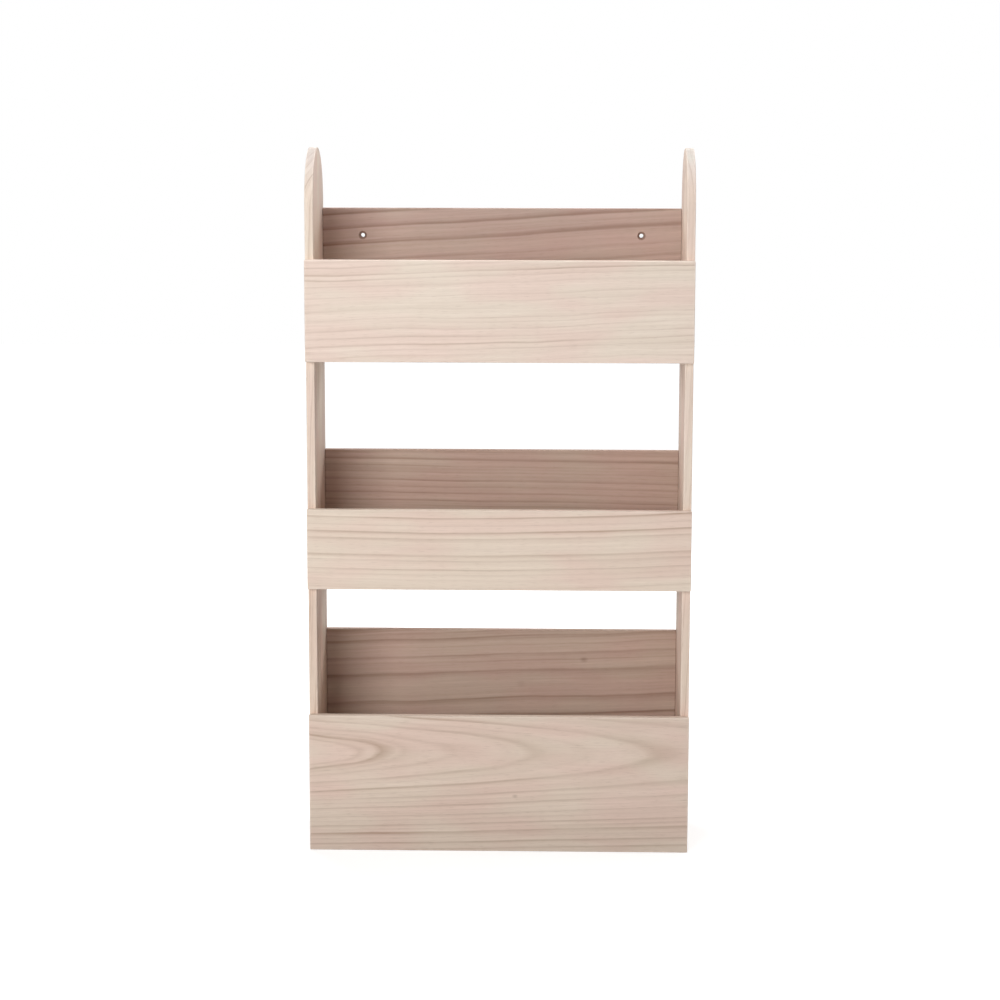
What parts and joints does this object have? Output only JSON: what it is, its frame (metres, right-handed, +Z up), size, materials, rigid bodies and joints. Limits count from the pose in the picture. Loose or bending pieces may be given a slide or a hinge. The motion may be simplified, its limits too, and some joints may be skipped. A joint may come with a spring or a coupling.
{
  "type": "book display shelf",
  "caption": "Narrow wooden book display shelf: half-round topped side panels carry shallow trays that hold picture books upright, covers forward, with holes for wall screws.",
  "frame": {"origin": "on the floor, at the middle of the footprint", "axes": "+Z up, +X to the right seen from the front, +Y from the front boards to the wall behind"},
  "size_m": [0.45, 0.14, 0.8299],
  "materials": {
    "pale_board": "bare sanded wood",
    "dowel_wood": "bare turned wood"
  },
  "bodies": {
    "root": {"side_panel_left": "pale_board", "side_panel_right": "pale_board", "bottom_front_board": "pale_board", "bottom_back_board": "pale_board", "bottom_shelf_board": "pale_board", "middle_front_board": "pale_board", "middle_back_board": "pale_board", "middle_shelf_board": "pale_board", "top_front_board": "pale_board", "top_back_board": "pale_board", "top_shelf_board": "pale_board", "bottom_front_side_dowels": "dowel_wood", "bottom_front_shelf_dowels": "dowel_wood", "bottom_back_side_dowels": "dowel_wood", "bottom_back_shelf_dowels": "dowel_wood", "bottom_shelf_side_dowels": "dowel_wood", "middle_front_side_dowels": "dowel_wood", "middle_front_shelf_dowels": "dowel_wood", "middle_back_side_dowels": "dowel_wood", "middle_back_shelf_dowels": "dowel_wood", "middle_shelf_side_dowels": "dowel_wood", "top_front_side_dowels": "dowel_wood", "top_front_shelf_dowels": "dowel_wood", "top_back_side_dowels": "dowel_wood", "top_back_shelf_dowels": "dowel_wood", "top_shelf_side_dowels": "dowel_wood"}
  },
  "joints": []
}
